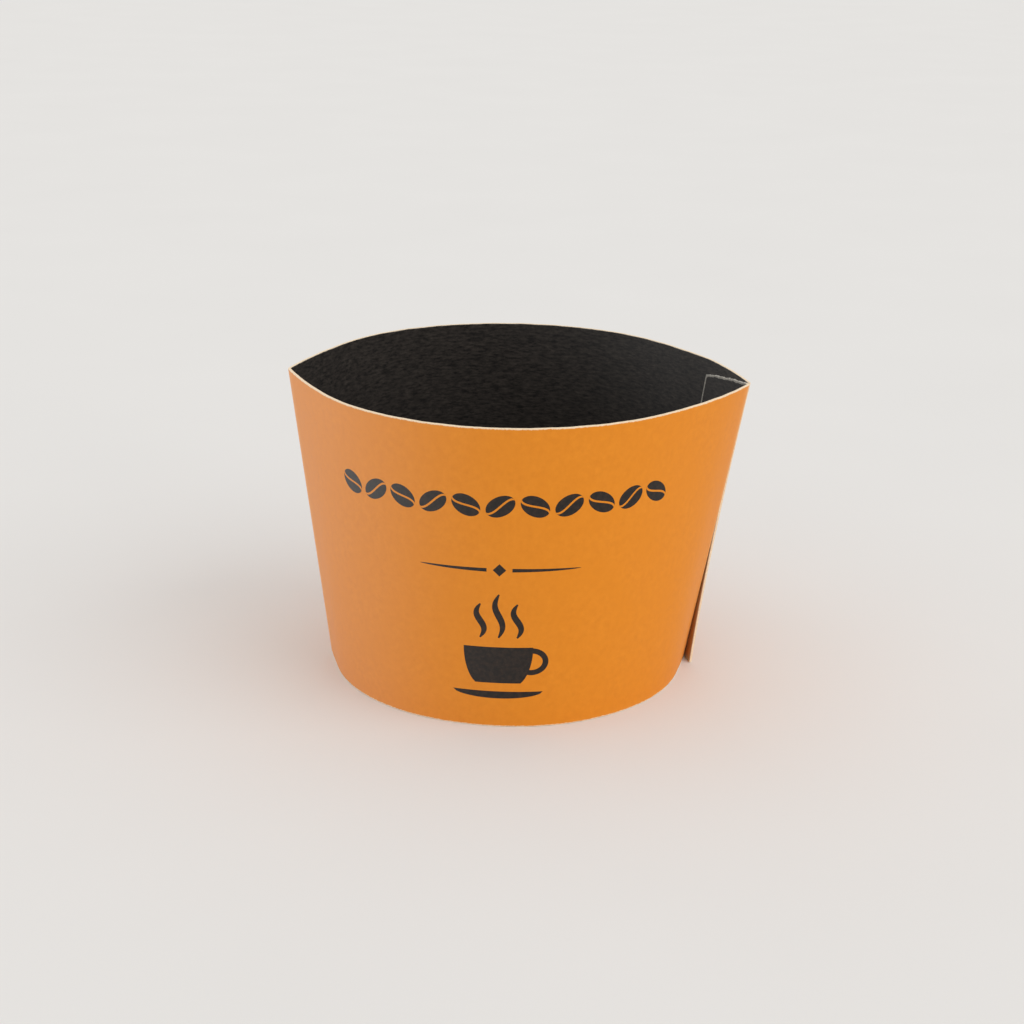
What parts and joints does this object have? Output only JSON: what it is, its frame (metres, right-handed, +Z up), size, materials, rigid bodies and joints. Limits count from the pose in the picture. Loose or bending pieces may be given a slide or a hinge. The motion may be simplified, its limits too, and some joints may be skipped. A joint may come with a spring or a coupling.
{
  "type": "coffee cup sleeve",
  "caption": "Folded card sleeve that slides up a tapered takeaway cup: a printed band with two pointed creases, a glue flap inside and a lapped seam.",
  "frame": {"origin": "on the plane of the bottom edge, under the middle of the band's outline", "axes": "+Z up towards the wide end, the front panel faces -Y, the fold crease is at -X and the glued seam crease at +X"},
  "size_m": [0.0922, 0.0816, 0.061],
  "materials": {
    "printed_card": "satin orange print on solid board, near-black inside, off-white cut edges"
  },
  "bodies": {
    "root": {"cup_sleeve": "printed_card"}
  },
  "joints": []
}
